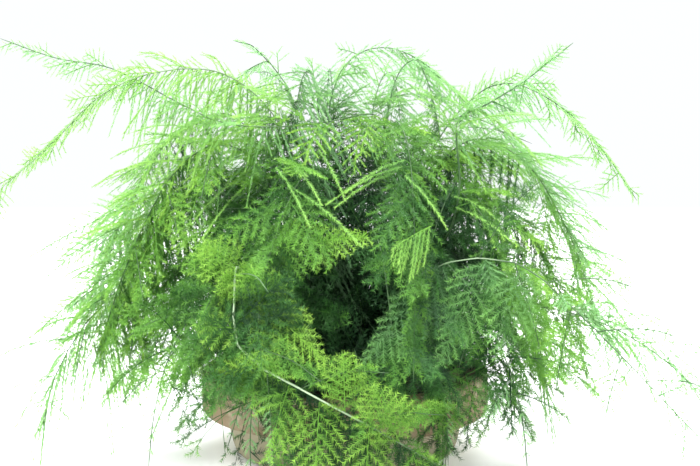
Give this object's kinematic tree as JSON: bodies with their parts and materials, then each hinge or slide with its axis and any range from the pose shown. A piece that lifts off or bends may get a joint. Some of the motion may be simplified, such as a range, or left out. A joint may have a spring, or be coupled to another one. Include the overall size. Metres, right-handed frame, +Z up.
{
  "type": "potted asparagus fern",
  "caption": "Bushy plumose asparagus fern with arching, feathery needle sprays, growing in a wide shallow terracotta pot with a heavy rim.",
  "frame": {"origin": "middle of the pot's flat underside, on the surface it stands on", "axes": "+Z up along the pot's axis; -Y is the front, where the dark hollow and the hanging sprays are; +X is to the right as seen from the front, and is the way of the whole plant's greatest width"},
  "size_m": [0.7543, 0.5735, 0.4571],
  "materials": {
    "terracotta": "unglazed, matt",
    "compost": "loose, matt",
    "foliage": "fine, slightly waxy"
  },
  "bodies": {
    "root": {"pot": "terracotta", "soil": "compost", "stem_left_arch": "foliage", "stem_left_droop": "foliage", "stem_top_spray": "foliage", "stem_right_wire": "foliage", "stem_right_droop": "foliage", "stem_right_trail": "foliage", "stem_front_trail": "foliage", "stem_right_low": "foliage", "stem_front_left": "foliage", "stem_front_middle": "foliage", "stem_front_low_left": "foliage", "stem_front_low_right": "foliage", "stem_front_right": "foliage", "stem_left_low": "foliage", "stem_crown_01": "foliage", "stem_crown_02": "foliage", "stem_crown_03": "foliage", "stem_crown_04": "foliage", "stem_crown_05": "foliage", "stem_arch_06": "foliage", "stem_arch_07": "foliage", "stem_arch_08": "foliage", "stem_arch_09": "foliage", "stem_arch_10": "foliage", "stem_arch_11": "foliage", "stem_arch_12": "foliage", "stem_arch_13": "foliage", "stem_arch_14": "foliage", "stem_arch_15": "foliage", "stem_arch_16": "foliage", "stem_arch_17": "foliage", "stem_arch_18": "foliage", "stem_arch_19": "foliage", "stem_arch_20": "foliage", "stem_arch_21": "foliage", "stem_arch_22": "foliage", "stem_arch_23": "foliage", "stem_arch_24": "foliage", "stem_arch_25": "foliage", "stem_arch_26": "foliage", "stem_arch_27": "foliage", "stem_arch_28": "foliage", "stem_arch_29": "foliage", "stem_arch_30": "foliage", "stem_arch_31": "foliage", "stem_arch_32": "foliage"}
  },
  "joints": []
}
